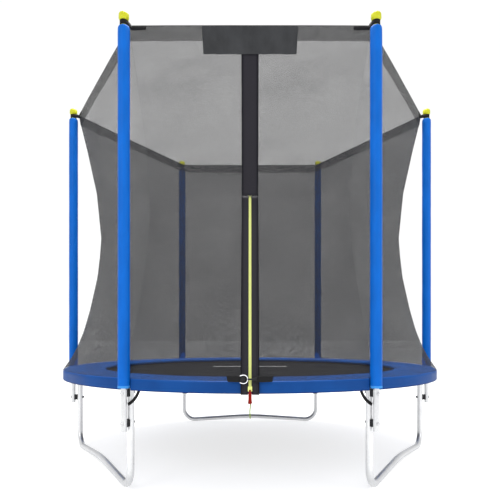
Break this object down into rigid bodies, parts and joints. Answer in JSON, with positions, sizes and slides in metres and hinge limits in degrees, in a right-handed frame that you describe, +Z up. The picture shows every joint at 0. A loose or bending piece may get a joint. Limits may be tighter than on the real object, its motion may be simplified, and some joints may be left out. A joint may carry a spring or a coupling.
{
  "type": "trampoline",
  "caption": "Round garden trampoline with bowed tube legs, padded poles, an edge pad and a waisted safety net with a zipped door.",
  "frame": {"origin": "on the ground below the centre of the mat", "axes": "+Z up, -Y towards the door, +X to the right of a person who faces the door"},
  "size_m": [2.58, 2.556, 2.4049],
  "materials": {
    "galvanised_steel": "galvanised",
    "pole_steel": "galvanised",
    "blue_sleeve": "satin",
    "blue_vinyl": "satin",
    "net_mesh": "matte",
    "dark_band": "matte",
    "black_webbing": "matte",
    "banner_cloth": "matte",
    "mat_weave": "matte",
    "yellow_plastic": "satin",
    "black_plastic": "satin",
    "white_plastic": "satin",
    "zinc_fasteners": "zinc plated",
    "slider_metal": "satin",
    "zip_yellow": "woven",
    "red_webbing": "woven",
    "green_cord": "braided"
  },
  "bodies": {
    "frame": {"banner": "banner_cloth", "bolt_nuts": "zinc_fasteners", "coach_bolts": "zinc_fasteners", "corner_straps": "black_webbing", "door_bands": "black_webbing", "door_cord": "green_cord", "door_strap_left": "black_webbing", "door_strap_right": "black_webbing", "foam_sleeve_1": "blue_sleeve", "foam_sleeve_2": "blue_sleeve", "foam_sleeve_3": "blue_sleeve", "foam_sleeve_4": "blue_sleeve", "foam_sleeve_5": "blue_sleeve", "foam_sleeve_6": "blue_sleeve", "leg_frame_left": "galvanised_steel", "leg_frame_rear": "galvanised_steel", "leg_frame_right": "galvanised_steel", "lower_pole_1": "pole_steel", "lower_pole_2": "pole_steel", "lower_pole_3": "pole_steel", "lower_pole_4": "pole_steel", "lower_pole_5": "pole_steel", "lower_pole_6": "pole_steel", "net_panel_door_left": "net_mesh", "net_panel_door_right": "net_mesh", "net_panel_left_front": "net_mesh", "net_panel_left_rear": "net_mesh", "net_panel_rear": "net_mesh", "net_panel_right_front": "net_mesh", "net_panel_right_rear": "net_mesh", "net_top_band": "dark_band", "pad_ties": "black_webbing", "pole_caps": "yellow_plastic", "pole_spacers": "black_plastic", "ring_segment_1": "galvanised_steel", "ring_segment_2": "galvanised_steel", "ring_segment_3": "galvanised_steel", "ring_segment_4": "galvanised_steel", "ring_segment_5": "galvanised_steel", "ring_segment_6": "galvanised_steel", "safety_pad": "blue_vinyl", "springs": "zinc_fasteners", "strap_ring": "white_plastic", "strap_shank": "black_plastic", "strap_toggle": "black_plastic", "tie_straps": "black_webbing", "upper_pole_1": "pole_steel", "upper_pole_2": "pole_steel", "upper_pole_3": "pole_steel", "upper_pole_4": "pole_steel", "upper_pole_5": "pole_steel", "upper_pole_6": "pole_steel", "zip_tape": "zip_yellow"},
    "mat": {"jumping_mat": "mat_weave", "mat_hem": "black_webbing", "v_rings": "zinc_fasteners"},
    "slider": {"zip_slider": "slider_metal"},
    "pull": {"zip_pull": "red_webbing"}
  },
  "joints": [
    {"name": "mat_bounce", "type": "slide", "parent": "frame", "child": "mat", "axis": [0, 0, -1], "range_m": [0, 0.2], "stiffness_N_per_m": 4500, "springref_m": -0.012, "deforming": ["springs"]},
    {"name": "zip_travel", "type": "slide", "parent": "frame", "child": "slider", "axis": [0, 0.3251, 0.9457], "range_m": [0, 1.03]},
    {"name": "pull_swing", "type": "hinge", "parent": "slider", "child": "pull", "pos_m": [0, -1.2758, 0.53636], "axis": [1, 0, 0], "range_deg": [-135, 0]}
  ]
}
